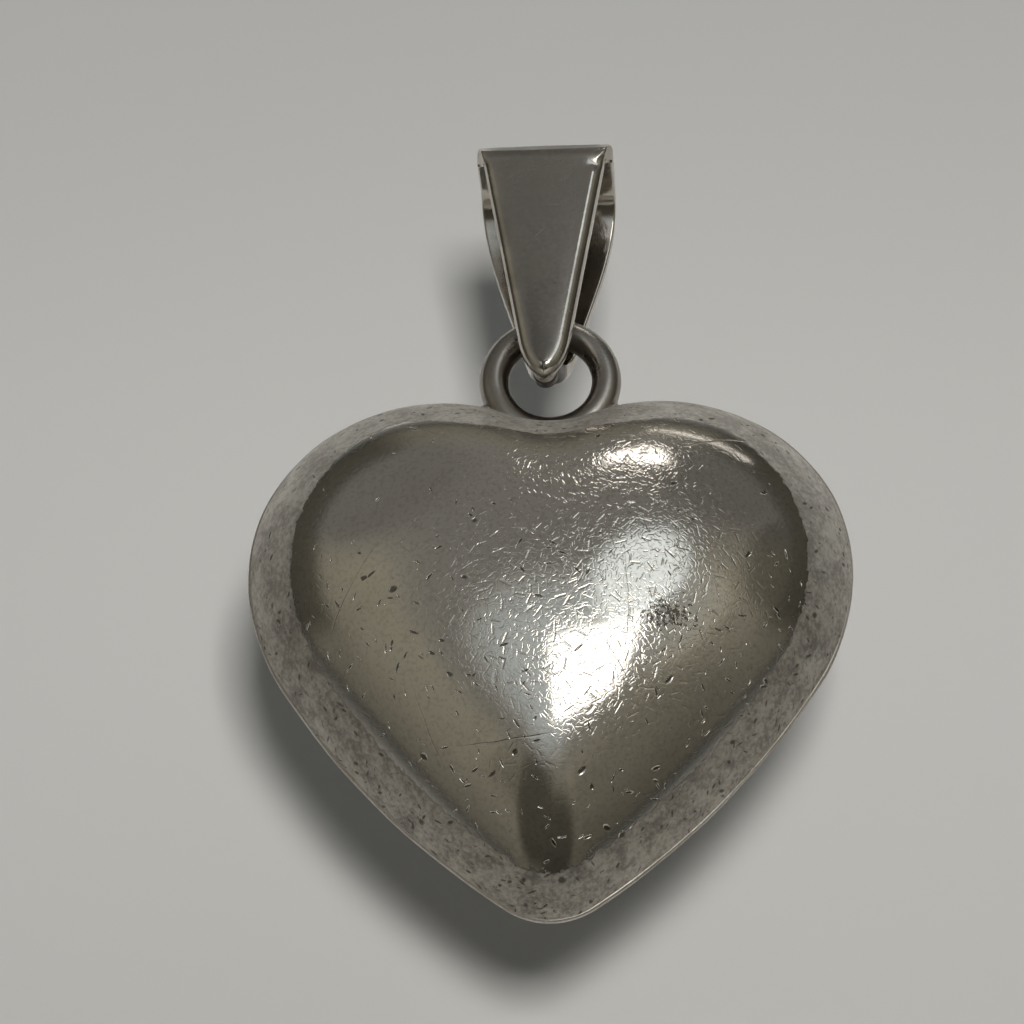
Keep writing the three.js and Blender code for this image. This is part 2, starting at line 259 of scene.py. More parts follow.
def rim_band(points, r):
    """How much of the rough band along the edge each point has: none inside a line near the rim, all
    beyond it. The line is a share of the way out that falls with height and more in the cleft."""
    cleft_half_width, cleft_height = 5.0, 3.0
    x, z = points[..., 0], points[..., 2]
    in_cleft = np.exp(-((x / cleft_half_width) ** 4)) * np.clip(z / cleft_height, 0, 1)
    start = BAND_START - BAND_FALL * z - BAND_IN_CLEFT * in_cleft
    return np.clip((r - start) / BAND_EDGE + 0.5, 0, 1)


def shell_surface(side):
    """A half shell: the outer dome down to the rim, then the inner dome up again, one wall inside it.
    Side is 1 for the front and -1 for the back, which is the front turned over."""
    outer_rows, inner_rows = 130, 24
    outer, top, out_r = dome(0.0, outer_rows)
    inner, hollow, _ = dome(-SHELL_WALL, inner_rows)
    band = rim_band(outer, out_r[:, None])
    outer = handled(outer, out_r[:, None])
    top = handled(top, 0.0)
    rings = np.concatenate([outer[::-1], inner])
    band = np.concatenate([band[::-1], np.zeros(inner.shape[:2])])
    ends = np.concatenate([top, hollow])
    if side < 0:
        turn = np.array([1.0, -1.0, 1.0])
        rings, band, ends = rings[::-1] * turn, band[::-1], ends[::-1] * turn
    points, faces = skin(rings, ends)
    return hung(points), faces, np.concatenate([band.ravel(), [0.0, 0.0]])


def drill_surface():
    """A plain drill for the vent: a circle of the hole's size carried straight through the back wall."""
    a = np.linspace(0, 2 * math.pi, 48, endpoint=False)
    radius = VENT_DIAMETER / 2
    z = CLEFT_BOTTOM - VENT_DROP
    y = np.array([SEAM_THICKNESS, DOME_HEIGHT + 2 * SEAM_THICKNESS])[:, None]
    x = np.broadcast_to(radius * np.cos(a), (2, a.size))
    rings = np.stack([x, np.broadcast_to(y, x.shape), z + radius * np.sin(a) + 0 * x], axis=-1)
    points, faces = skin(rings, np.array([[0.0, y[0, 0], z], [0.0, y[1, 0], z]]))
    return hung(points), faces


def seam_surface():
    """A bead round the outline between the two rims: its section is half an ellipse that stands proud,
    on a flat tongue as deep as the shell's wall. The bead swells and thins a little on its way, by two
    sine waves."""
    across = np.linspace(-math.pi / 2, math.pi / 2, 13)
    edge = heart_outline(0.0)
    outward = heart_outline(1.0) - edge
    way = np.arctan2(edge[:, 0], edge[:, 1])
    swell = 0.82 + 0.1 * np.sin(7 * way + 0.4) + 0.08 * np.sin(19 * way + 1.9)
    proud = SEAM_PROUD * np.cos(across)
    offset = np.concatenate([[-SHELL_WALL], proud, [-SHELL_WALL]])
    half = SEAM_THICKNESS / 2
    y = np.concatenate([[-half], half * np.sin(across), [half]])
    push = np.where(offset[:, None] > 0, offset[:, None] * swell, offset[:, None])
    flat = edge + outward * push[..., None]
    deep = np.broadcast_to(y[:, None], push.shape)
    rings = np.stack([flat[..., 0], deep, flat[..., 1]], axis=-1)
    points, faces = skin(rings, closed=True)
    return hung(points), faces


def ring_surface():
    """A torus: a small circle of wire carried round the ring's circle, in the X and Z plane."""
    round_ring, round_wire = 220, 56
    a = np.linspace(0, 2 * math.pi, round_ring, endpoint=False)[:, None]
    b = np.linspace(0, 2 * math.pi, round_wire, endpoint=False)[None, :]
    reach = RING_RADIUS + WIRE_DIAMETER / 2 * np.cos(b)
    x = reach * np.sin(a)
    z = RING_CENTRE + reach * np.cos(a)
    y = np.broadcast_to(WIRE_DIAMETER / 2 * np.sin(b), x.shape)
    points, faces = skin(np.stack([x, y, z], axis=-1), closed=True)
    return hung(points), faces


def fillet_surface(side):
    """A drop of solder in the crevice between ring and lobe: an ellipsoid, longest from front to back
    and leaning along the crevice, sunk into both. Side is 1 for the right and -1 for the left."""
    crevice = crossing(np.array([0.0, RING_CENTRE]), RING_OUTER, LOBE, LOBE_RADIUS)
    long, thick, deep = 0.44, 0.26, 0.5
    lean = math.radians(40)
    v = np.linspace(0, math.pi, 34)[1:-1, None]
    u = np.linspace(0, 2 * math.pi, 48, endpoint=False)[None, :]

    def turned(a, b, c):
        x = a * math.cos(lean) - b * math.sin(lean)
        z = a * math.sin(lean) + b * math.cos(lean)
        return np.stack([side * (crevice[0] + x), side * c, crevice[1] + z], axis=-1)

    along = long * (np.cos(v) + 0 * u)
    rings = turned(along, thick * np.sin(v) * np.cos(u), deep * np.sin(v) * np.sin(u))
    ends = np.stack([turned(long, 0.0, 0.0), turned(-long, 0.0, 0.0)])
    points, faces = skin(rings, ends)
    return hung(points), faces


# Bail


def bail_path():
    """The middle of the strip as dense points: up the flat front leg, round the fold, along the top,
    down the bowed back leg, round under the ring and down to the back tip. Returns the distance gone,
    the points and the heading at each, and the distances where front leg and fold end."""
    quarter = math.pi / 2
    front = -BAIL_FRONT_REACH - HALF_STRIP
    back = front + BAIL_THICKNESS + BAIL_JOINT
    bow = BAIL_BACK_REACH + HALF_STRIP
    top = BAIL_RISE + BAIL_FOLD_RADIUS
    cradle = -WIRE_DIAMETER / 2 - BAIL_CRADLE - HALF_STRIP
    turn = back + BAIL_TURN_RADIUS

    def line(start, end):
        t = np.linspace(0, 1, 200)[:, None]
        return np.array(start) * (1 - t) + np.array(end) * t

    def arc(middle, size, start, end):
        a = np.linspace(start, end, 400)[:, None]
        return np.array(middle) + np.array(size) * np.hstack([np.cos(a), np.sin(a)])

    t = np.linspace(0, 1, 800)[:, None]
    pulls = np.array([[0, top], [bow + BAIL_BOW, top], [bow, BAIL_RISE / 2], [bow, 0]])
    shares = np.hstack([(1 - t) ** 3, 3 * t * (1 - t) ** 2, 3 * t * t * (1 - t), t**3])
    legs = [
        line([front, -BAIL_TAIL], [front, BAIL_RISE]),
        arc([front + BAIL_FOLD_RADIUS, BAIL_RISE], [BAIL_FOLD_RADIUS] * 2, 2 * quarter, quarter),
        line([front + BAIL_FOLD_RADIUS, top], [0, top]),
        shares @ pulls,
        arc([0, 0], [bow, -cradle], 0, -quarter),
        line([0, cradle], [turn, cradle]),
        arc([turn, cradle - BAIL_TURN_RADIUS], [BAIL_TURN_RADIUS] * 2, quarter, 2 * quarter),
        line([back, cradle - BAIL_TURN_RADIUS], [back, -BAIL_TAIL]),
    ]
    points = np.vstack([legs[0]] + [leg[1:] for leg in legs[1:]])
    steps = np.hypot(*np.diff(points, axis=0).T)
    gone = np.concatenate([[0], np.cumsum(steps)])
    heads = np.unwrap(np.arctan2(*np.gradient(points, gone, axis=0).T[::-1]))
    front_end = BAIL_RISE + BAIL_TAIL
    fold_end = front_end + BAIL_FOLD_RADIUS * quarter + abs(front + BAIL_FOLD_RADIUS)
    return gone, points, heads, front_end, fold_end


def bail_section():
    """Half the strip's section, from the middle of its inside to the middle of its outside. For each
    point: share of the half width, inset from the edge, height over the strip's middle, what a bevel of
    one millimetre adds to the inset and takes from the height, and how dull the metal is. The bevel is
    a curve between a straight cut and a quarter round."""
    inner_round, crowned, softness = 0.1, 0.05, 1.3
    before_round, after_round = 0.02, 0.05
    flat = np.array([0.0, 0.3, 0.55, 0.75, 0.84, 0.9, 0.95])
    n = len(flat)
    bend = np.linspace(0, math.pi / 2, 11)
    drawn = 1 - np.cos(bend) ** softness
    dropped = 1 - np.sin(bend) ** softness
    edge = len(bend) + 2
    share = np.concatenate([flat, np.ones(edge + len(bend)), flat[::-1]])
    inset = np.concatenate(
        [
            np.full(n, inner_round),
            [inner_round + before_round],
            inner_round * (1 - np.sin(bend)),
            np.zeros(1 + len(bend) + n),
        ]
    )
    lift = np.concatenate(
        [
            np.full(n + 1, -HALF_STRIP),
            -HALF_STRIP + inner_round * (1 - np.cos(bend)),
            [-HALF_STRIP + inner_round + after_round],
            HALF_STRIP - crowned * (1 - dropped),
            HALF_STRIP - crowned * flat[::-1] ** 2,
        ]
    )
    bevel_in = np.concatenate([np.zeros(n + edge), drawn, np.ones(n)])
    bevel_down = np.concatenate([np.zeros(n + edge), dropped, np.zeros(n)])
    dull = np.concatenate([np.zeros(n + edge + len(bend)), 1 - flat[::-1] ** 8])
    return share, inset, lift, bevel_in, bevel_down, dull


def smooth_step(value, low, high):
    """From 0 to 1 while a value goes from low to high, level at both ends: t squared times 3 less 2 t."""
    t = np.clip((value - low) / (high - low), 0, 1)
    return t * t * (3 - 2 * t)


def bail_half_width(s, front_end, fold_end, length):
    """Half the strip's width at a distance along it: straight up the front leg, a flare round the fold,
    and a smooth step down the back leg, so its shoulders stay broad."""
    front_tip, back_tip = BAIL_TIP_WIDTH / 2, BAIL_BACK_TIP_WIDTH / 2
    top, shoulder = BAIL_TOP_WIDTH / 2, BAIL_SHOULDER_WIDTH / 2
    round_end = front_end + BAIL_FOLD_RADIUS * math.pi / 2
    front = front_tip + (top - front_tip) * s / front_end
    flare = top + (shoulder - top) * np.clip((s - front_end) / (round_end - front_end), 0, 1)
    to_tip = (length - s) / (length - fold_end)
    growth = smooth_step(to_tip, BAIL_SHOULDER_FROM, BAIL_SHOULDER_TO)
    back = back_tip + (shoulder - back_tip) * growth
    return np.where(s < front_end, front, np.minimum(flare, back))


def bail_worn(points):
    """The fold's outer corner is rubbed to a flat that leans back: what stands beyond its plane is
    pressed onto it. A knock presses a small bell-shaped hollow near the top right corner."""
    lean = math.radians(FLAT_LEAN_DEG)
    fold = np.array([0.0, -BAIL_FRONT_REACH - HALF_STRIP + BAIL_FOLD_RADIUS, BAIL_RISE])
    normal = np.array([0.0, -math.cos(lean), math.sin(lean)])
    reach = BAIL_FOLD_RADIUS + HALF_STRIP - FLAT_DEPTH
    over = np.maximum(0, (points - fold) @ normal - reach)
    points = points - over[..., None] * normal
    x, y, z = np.moveaxis(points, -1, 0)
    off_knock = (x - KNOCK_ASIDE) ** 2 + (z - KNOCK_UP) ** 2
    hollow = KNOCK_DEPTH * np.exp(-off_knock / KNOCK_RADIUS**2) * (y < -BAIL_FRONT_REACH)
    return np.stack([x, y + hollow, z], axis=-1)


def bail_dullness(face_dull, s, fold, front_end, length):
    """How dull the strip is: the face most at the front tip, less towards the top and more again on the
    fold. Near the back tip, where the ring sits, grime and painted shade are added all round."""
    at_tip, lost_at_top, on_fold = 1.5, 0.85, 0.5
    # Grime and painted shade near the back tip, where the ring sits
    grime_and_shade, grime_and_shade_from, grime_and_shade_to = 3, 4.2, 3.4
    up = np.clip(s / front_end, 0, 1)
    dull = face_dull * (at_tip - lost_at_top * up + on_fold * fold)
    return dull + grime_and_shade * smooth_step(s, length - grime_and_shade_from, length - grime_and_shade_to)


def bail_surface():
    """The strip's section carried along its path. At a tip the half width follows half an ellipse, and
    the stations run in with it, so the edge goes round the end. The bevel is slight round the fold."""
    gone, path, heads, front_end, fold_end = bail_path()
    share, inset, lift, bevel_in, bevel_down, face_dull = bail_section()
    length = gone[-1]
    back_tip = BAIL_BACK_TIP_WIDTH / 2
    tip_rows, leg_rows = 24, 640
    spin = np.linspace(0, math.pi / 2, tip_rows + 1)
    kind = np.repeat([-1.0, 0.0, 1.0], [tip_rows, leg_rows, tip_rows])[:, None]
    angle = np.concatenate([spin[:-1], np.full(leg_rows, math.pi / 2), spin[-2::-1]])[:, None]
    middle = np.linspace(BAIL_TIP_LENGTH, length - back_tip, leg_rows)
    base = np.concatenate([np.full(tip_rows, middle[0]), middle, np.full(tip_rows, middle[-1])])[:, None]
    tip_length = np.where(kind < 0, BAIL_TIP_LENGTH, back_tip)
    tip_width = np.where(kind < 0, BAIL_TIP_WIDTH / 2, back_tip)
    before_fold = smooth_step(base, front_end - 0.3, front_end + 0.2)
    behind_fold = smooth_step(base, fold_end, fold_end + 1.5)
    fold = before_fold - behind_fold
    bevel = WORN_BEVEL * (1 - FOLD_BEVEL_LOSS * fold)
    drawn_in = inset + bevel * bevel_in
    s = base + kind * (tip_length - drawn_in) * np.cos(angle)
    half = bail_half_width(s, front_end, fold_end, length)
    half = half - tip_width + (tip_width - drawn_in) * np.sin(angle)
    x = half * share
    head = np.interp(s, gone, heads)
    height = lift - bevel * bevel_down
    y = np.interp(s, gone, path[:, 0]) - np.sin(head) * height
    z = np.interp(s, gone, path[:, 1]) + np.cos(head) * height
    left = np.stack([-x, y, z], axis=-1)
    right = np.stack([x, y, z], axis=-1)[:, -2:0:-1]
    rings = bail_worn(np.concatenate([left, right], axis=1))
    caps = np.stack([rings[0].mean(0), rings[-1].mean(0)])
    dull = bail_dullness(face_dull, base, fold, front_end, length)
    dull = np.concatenate([dull, dull[:, -2:0:-1]], axis=1)
    points, faces = skin(rings, caps)
    return bail_hung(points), faces, np.concatenate([dull.ravel(), [0.0, 0.0]])


def bail_hung(points):
    """The bail's own frame is the middle of the ring's wire, a little turned about the upright."""
    a = -math.radians(BAIL_TWIST_DEG)
    x = points[:, 0] * math.cos(a) - points[:, 1] * math.sin(a)
    y = points[:, 0] * math.sin(a) + points[:, 1] * math.cos(a)
    return np.stack([x, y, points[:, 2] - CHAIN_SEAT], axis=-1)


def tip_solder_surface():
    """A thin plate with the back tip's round end, its rim drawn in by a shallow curve between the tips."""
    tip = BAIL_BACK_TIP_WIDTH / 2
    a = np.linspace(-math.pi, 0, 40)
    top = -WIRE_DIAMETER / 2 - BAIL_CRADLE - BAIL_THICKNESS / 2 - BAIL_TURN_RADIUS
    round_x = np.concatenate([[-tip], tip * np.cos(a), [tip]])
    round_z = np.concatenate([[top], -BAIL_TAIL + tip + tip * np.sin(a), [top]])
    middle = (top - BAIL_TAIL) / 2
    across = np.linspace(-1, 1, 9)[:, None]
    waist, flare = 0.9, 0.05
    draw = waist + flare * across**2
    x = round_x * draw
    z = middle + (round_z - middle) * draw
    start = -BAIL_FRONT_REACH
    y = np.broadcast_to(start + BAIL_JOINT * (across + 1) / 2, x.shape)
    rings = np.stack([x, y, z], axis=-1)
    ends = np.array([[0.0, start, middle], [0.0, start + BAIL_JOINT, middle]])
    points, faces = skin(rings[:, ::-1], ends)
    return bail_hung(points), faces


# Pieces


def heart_shell(name, side, node):
    points, faces, band = shell_surface(side)
    return piece(name, points, faces, "heart", node, "polished_silver", {"band": band})


def drilled(shell):
    """Cuts the vent through a shell and keeps the cut mesh, with no modifier and no drill left."""
    points, faces = drill_surface()
    drill_mesh = bpy.data.meshes.new("vent_drill")
    drill_mesh.from_pydata((points * MM).tolist(), [], faces)
    drill = bpy.data.objects.new("vent_drill", drill_mesh)
    bpy.context.scene.collection.objects.link(drill)
    cut = shell.modifiers.new("vent", "BOOLEAN")
    cut.operation = "DIFFERENCE"
    cut.solver = "EXACT"
    cut.object = drill
    seen = bpy.context.evaluated_depsgraph_get()
    done = bpy.data.meshes.new_from_object(shell.evaluated_get(seen))
    shell.modifiers.clear()
    shell.data = done
    bpy.data.objects.remove(drill)
    smooth(shell.data)


def ring_of_wire():
    points, faces = ring_surface()
    marks = {"dull": np.full(len(points), RING_DULL)}
    return piece("ring_wire", points, faces, "heart", "hanging_ring", "worn_silver", marks)


def bail_of_strip():
    points, faces, dull = bail_surface()
    return piece("bail", points, faces, "bail", "bail_strip", "worn_silver", {"dull": dull})


heart_front = heart_shell("heart_front", 1, "heart_front_shell")
heart_back = heart_shell("heart_back", -1, "heart_back_shell")
drilled(heart_back)
seam = piece("seam_bead", *seam_surface(), "heart", "seam_solder", "solder")
ring = ring_of_wire()
fillet_left = piece("ring_fillet_left", *fillet_surface(-1), "heart", "ring_solder_left", "solder")
fillet_right = piece("ring_fillet_right", *fillet_surface(1), "heart", "ring_solder_right", "solder")
bail = bail_of_strip()
tip_solder = piece("bail_tip_joint", *tip_solder_surface(), "bail", "bail_tip_solder", "solder")


# Shader nodes


def add(tree, kind, inputs=None, **settings):
    """A new node with its settings, and each named input wired to a socket or set to a value."""
    made = tree.nodes.new(kind)
    for key, value in settings.items():
        setattr(made, key, value)
    for key, value in (inputs or {}).items():
        if isinstance(value, bpy.types.NodeSocket):
            tree.links.new(value, made.inputs[key])
        else:
            made.inputs[key].default_value = value
    return made


def calc(tree, operation, *values):
    return add(tree, "ShaderNodeMath", dict(enumerate(values)), operation=operation).outputs[0]


def vector_calc(tree, operation, *values):
    made = add(tree, "ShaderNodeVectorMath", dict(enumerate(values)), operation=operation)
    return made.outputs["Value" if operation in ("DOT_PRODUCT", "LENGTH", "DISTANCE") else "Vector"]


def weighted_sum(tree, *terms):
    """A sum of products, each of a socket and a number."""
    level = 0.0
    for value, weight in terms:
        level = calc(tree, "MULTIPLY_ADD", value, weight, level)
    return level


def ease(tree, value, low, high, at_low=0.0, at_high=1.0):
    """A smooth step from one level to another while a value goes from low to high."""
    sockets = {"Value": value, "From Min": low, "From Max": high, "To Min": at_low, "To Max": at_high}
    made = add(tree, "ShaderNodeMapRange", sockets, interpolation_type="SMOOTHSTEP")
    return made.outputs["Result"]


def noise(tree, place, per_mm, detail=2.0, rough=0.5):
    """Soft noise from 0 to 1, with a number of waves to the millimetre."""
    sockets = {"Vector": place, "Scale": per_mm, "Detail": detail, "Roughness": rough}
    return add(tree, "ShaderNodeTexNoise", sockets).outputs["Fac"]


def mix_colour(tree, share, first, second):
    made = add(tree, "ShaderNodeMix", {0: share, 6: first, 7: second}, data_type="RGBA")
    return made.outputs[2]


def as_vector(tree, value):
    """A number as a vector with that number on each axis."""
    return add(tree, "ShaderNodeCombineXYZ", {0: value, 1: value, 2: value}).outputs[0]


def new_group(name, inputs, outputs):
    group = bpy.data.node_groups.new(name, "ShaderNodeTree")
    for label, kind in inputs:
        group.interface.new_socket(label, in_out="INPUT", socket_type=kind)
    for label, kind in outputs:
        group.interface.new_socket(label, in_out="OUTPUT", socket_type=kind)
    return group, group.nodes.new("NodeGroupInput").outputs, group.nodes.new("NodeGroupOutput").inputs


def use(tree, group, **inputs):
    """Places a group in a material and returns its one output."""
    return add(tree, "ShaderNodeGroup", inputs, node_tree=group).outputs[0]


# Marks on metal, one node group each, in millimetres


def scattered_cells(group, place, spacing):
    """One seed in each cell of a lattice: the way from the seed, a random turn and a random number."""
    density = calc(group, "DIVIDE", 1.0, spacing)
    cells = add(group, "ShaderNodeTexVoronoi", {"Vector": place, "Scale": density})
    away = vector_calc(group, "SUBTRACT", place, cells.outputs["Position"])
    turn = vector_calc(group, "SUBTRACT", cells.outputs["Color"], (0.5, 0.5, 0.5))
    turn = vector_calc(group, "NORMALIZE", turn)
    luck = vector_calc(group, "DOT_PRODUCT", cells.outputs["Color"], (93.1, 57.7, 71.3))
    return away, turn, calc(group, "FRACT", luck)


MARK_INPUTS = [
    ("Place", "NodeSocketVector"),
    ("Spacing", "NodeSocketFloat"),
    ("Size", "NodeSocketFloat"),
    ("Share", "NodeSocketFloat"),
]


def hairline_group():
    """Fine scratches: in each cell the points close to a plane through the seed, turned at random and
    bent a little by noise. The line fades towards the cell's edge, and only a share of cells has one."""
    group, given, result = new_group("hairline_scratches", MARK_INPUTS, [("Line", "NodeSocketFloat")])
    sway = add(group, "ShaderNodeTexNoise", {"Vector": given["Place"], "Scale": 0.7, "Detail": 1.0})
    bent = vector_calc(group, "MULTIPLY_ADD", sway.outputs["Color"], (0.2, 0.2, 0.2), given["Place"])
    away, turn, luck = scattered_cells(group, bent, given["Spacing"])
    aside = calc(group, "ABSOLUTE", vector_calc(group, "DOT_PRODUCT", away, turn))
    line = ease(group, aside, 0.0, given["Size"], 1.0, 0.0)
    far = calc(group, "DIVIDE", vector_calc(group, "LENGTH", away), given["Spacing"])
    kept = calc(group, "LESS_THAN", luck, given["Share"])
    faded = calc(group, "MULTIPLY", line, ease(group, far, 0.3, 0.62, 1.0, 0.0))
    group.links.new(calc(group, "MULTIPLY", faded, kept), result["Line"])
    return group


def rubbed_group():
    """Rubbed metal, thick with short crooked marks: the points where soft noise is close to its middle
    level, which are the level lines of the noise."""
    inputs = [("Place", "NodeSocketVector"), ("Density", "NodeSocketFloat"), ("Width", "NodeSocketFloat")]
    group, given, result = new_group("rubbed_marks", inputs, [("Mark", "NodeSocketFloat")])
    sockets = {"Vector": given["Place"], "Scale": given["Density"], "Detail": 1.0, "Distortion": 0.4}
    level = add(group, "ShaderNodeTexNoise", sockets).outputs["Fac"]
    off = calc(group, "ABSOLUTE", calc(group, "SUBTRACT", level, 0.5))
    group.links.new(ease(group, off, 0.0, given["Width"], 1.0, 0.0), result["Mark"])
    return group


def pit_group():
    """Pits of cast or worn metal: a lens round the seed, turned at random, of random size, in a share of
    the cells. The slimmer the lens, the more the pit looks like a dash."""
    inputs = MARK_INPUTS + [("Slim", "NodeSocketFloat")]
    group, given, result = new_group("metal_pits", inputs, [("Pit", "NodeSocketFloat")])
    away, turn, luck = scattered_cells(group, given["Place"], given["Spacing"])
    along = calc(group, "MULTIPLY", vector_calc(group, "DOT_PRODUCT", away, turn), given["Slim"])
    thin = vector_calc(group, "MULTIPLY_ADD", turn, as_vector(group, along), away)
    kept = calc(group, "LESS_THAN", luck, given["Share"])
    growth = calc(group, "FRACT", calc(group, "MULTIPLY", luck, 37.0))
    size = calc(group, "MULTIPLY", given["Size"], growth)
    size = calc(group, "MULTIPLY_ADD", given["Size"], 0.4, size)
    far = calc(group, "DIVIDE", vector_calc(group, "LENGTH", thin), size)
    lens = ease(group, far, 0.45, 1.0, 1.0, 0.0)
    group.links.new(calc(group, "MULTIPLY", lens, kept), result["Pit"])
    return group


def tarnish_group():
    """Brown bloom: patches of soft noise, broken up by finer noise, stronger where it is held."""
    inputs = [("Place", "NodeSocketVector"), ("Held", "NodeSocketFloat")]
    group, given, result = new_group("tarnish_bloom", inputs, [("Bloom", "NodeSocketFloat")])
    patch = noise(group, given["Place"], 0.28, 3.0, 0.6)
    speck = noise(group, given["Place"], 2.6, 3.0, 0.65)
    level = calc(group, "MULTIPLY_ADD", speck, 0.35, patch)
    level = calc(group, "MULTIPLY_ADD", given["Held"], 0.3, level)
    group.links.new(ease(group, level, 0.62, 1.05), result["Bloom"])
    return group


HAIRLINES = hairline_group()
RUBBED = rubbed_group()
PITS = pit_group()
TARNISH = tarnish_group()


# Metals


def silver(name):
    """A metal material and its place in millimetres, from Object coordinates."""
    material = bpy.data.materials.new(name)
    material.use_nodes = True
    tree = material.node_tree
    shader = tree.nodes["Principled BSDF"]
    shader.inputs["Metallic"].default_value = 1.0
    here = add(tree, "ShaderNodeTexCoord").outputs["Object"]
    place = add(tree, "ShaderNodeMapping", {"Vector": here, "Scale": (1000, 1000, 1000)})
    return material, tree, shader, place.outputs["Vector"]


def finish(tree, shader, colour, roughness, height):
    """Wires a finish to its shader; the height is in millimetres."""
    tree.links.new(colour, shader.inputs["Base Color"])
    tree.links.new(roughness, shader.inputs["Roughness"])
    bump = add(tree, "ShaderNodeBump", {"Height": height, "Distance": MM, "Strength": 1.0})
    tree.links.new(bump.outputs["Normal"], shader.inputs["Normal"])


def polished_silver():
    """Bright silver, thick with short scratches on its crown, with a matt, mottled band along the heart's
    edge where pits crowd in places, dark dashes low on the flanks and one scar of crowded specks. The
    band is painted paler at the top and darker low on the flanks, as painted light and shade, and a dark
    line along its inner edge is a painted reflection."""
    crown_at, scar_at = (1.8, -6.4, -21.5), (5.1, -5.72, -23.64)
    material, tree, shader, place = silver("polished_silver")
    height_up = add(tree, "ShaderNodeSeparateXYZ", {"Vector": place}).outputs["Z"]
    worn = noise(tree, place, 0.5, 3.0)
    grit = noise(tree, place, 5.0, 4.0, 0.65)
    speck = noise(tree, place, 6.0, 2.0)

    # The band, what is bare of it, and a painted dark reflection between them
    band = add(tree, "ShaderNodeAttribute", attribute_name="band").outputs["Fac"]
    ragged = noise(tree, place, 2.2, 3.0, 0.6)
    cast = ease(tree, calc(tree, "ADD", ragged, band), 0.9, 1.15)
    bare = calc(tree, "SUBTRACT", 1.0, cast)
    painted_edge_reflection = calc(tree, "MULTIPLY", cast, bare)

    # Scratches
    off_crown = vector_calc(tree, "DISTANCE", place, crown_at)
    crown = calc(tree, "MULTIPLY", ease(tree, off_crown, 4.5, 9.0, 1.0, 0.15), bare)
    rubbed = use(tree, RUBBED, Place=place, Density=3.4, Width=0.07)
    short = use(tree, HAIRLINES, Place=place, Spacing=0.24, Size=0.032, Share=0.9)
    stroke = use(tree, HAIRLINES, Place=place, Spacing=0.5, Size=0.055, Share=0.8)
    long = use(tree, HAIRLINES, Place=place, Spacing=4.2, Size=0.04, Share=0.5)
    scratched = weighted_sum(tree, (short, 0.8), (stroke, 1.5), (rubbed, 0.4))
    scratched = calc(tree, "MULTIPLY", scratched, crown)

    # Pits, dashes and the scar
    crowd = calc(tree, "MULTIPLY_ADD", cast, ease(tree, worn, 0.42, 0.6, 0.2, 0.8), 0.05)
    pits = use(tree, PITS, Place=place, Spacing=0.42, Size=0.16, Share=crowd, Slim=1.6)
    dash_share = ease(tree, height_up, -16.0, -25.0, 0.03, 0.54)
    dash_share = calc(tree, "MULTIPLY", dash_share, calc(tree, "MULTIPLY_ADD", crown, -0.7, 1.0))
    dashes = use(tree, PITS, Place=place, Spacing=0.45, Size=0.2, Share=dash_share, Slim=4.0)
    from_scar = vector_calc(tree, "SUBTRACT", place, scar_at)
    off_scar = vector_calc(tree, "LENGTH", vector_calc(tree, "MULTIPLY", from_scar, (0.5, 1.0, 1.0)))
    scar = ease(tree, calc(tree, "MULTIPLY_ADD", off_scar, -0.3, speck), 0.4, 0.46)
    pits = calc(tree, "MAXIMUM", calc(tree, "MAXIMUM", pits, dashes), scar)

    # Tone
    bloom = use(tree, TARNISH, Place=place, Held=cast)
    clouded = ease(tree, speck, 0.45, 0.7)
    dome_tone = mix_colour(tree, clouded, (0.8, 0.755, 0.68, 1), (0.68, 0.64, 0.57, 1))
    # Painted light and shade: the band is paler at the top and darker low on the flanks, standing in for
    # the lit and shaded paper that it mirrors
    band_painted_shade = ease(tree, height_up, -13.5, -24.0)
    band_pale = mix_colour(tree, band_painted_shade, (1.0, 0.97, 0.91, 1), (0.68, 0.645, 0.58, 1))
    band_dark = mix_colour(tree, band_painted_shade, (0.62, 0.59, 0.54, 1), (0.3, 0.28, 0.25, 1))
    blotch = noise(tree, place, 0.9, 5.0, 0.68)
    mottled = weighted_sum(tree, (blotch, 0.55), (grit, 0.45))
    band_tone = mix_colour(tree, ease(tree, mottled, 0.38, 0.62), band_dark, band_pale)
    tone = mix_colour(tree, cast, dome_tone, band_tone)
    tone = mix_colour(tree, calc(tree, "MULTIPLY", bloom, 0.2), tone, (0.42, 0.36, 0.29, 1))
    # Painted reflection: a dark line along the band's inner edge, where the dome mirrors the dark room
    tone = mix_colour(tree, calc(tree, "MULTIPLY", painted_edge_reflection, 2.0), tone, (0.2, 0.18, 0.15, 1))
    tone = mix_colour(tree, calc(tree, "MULTIPLY", pits, 0.8), tone, (0.1, 0.085, 0.07, 1))

    # Roughness and relief
    roughness = weighted_sum(tree, (worn, 0.08), (cast, 0.4), (bloom, 0.06), (scratched, 0.08))
    roughness = calc(tree, "ADD", roughness, 0.06)
    grain = calc(tree, "MULTIPLY", calc(tree, "SUBTRACT", grit, 0.5), cast)
    height = weighted_sum(tree, (scratched, -0.006), (long, -0.005), (pits, -0.025), (grain, 0.05))
    finish(tree, shader, tone, roughness, height)
    return material


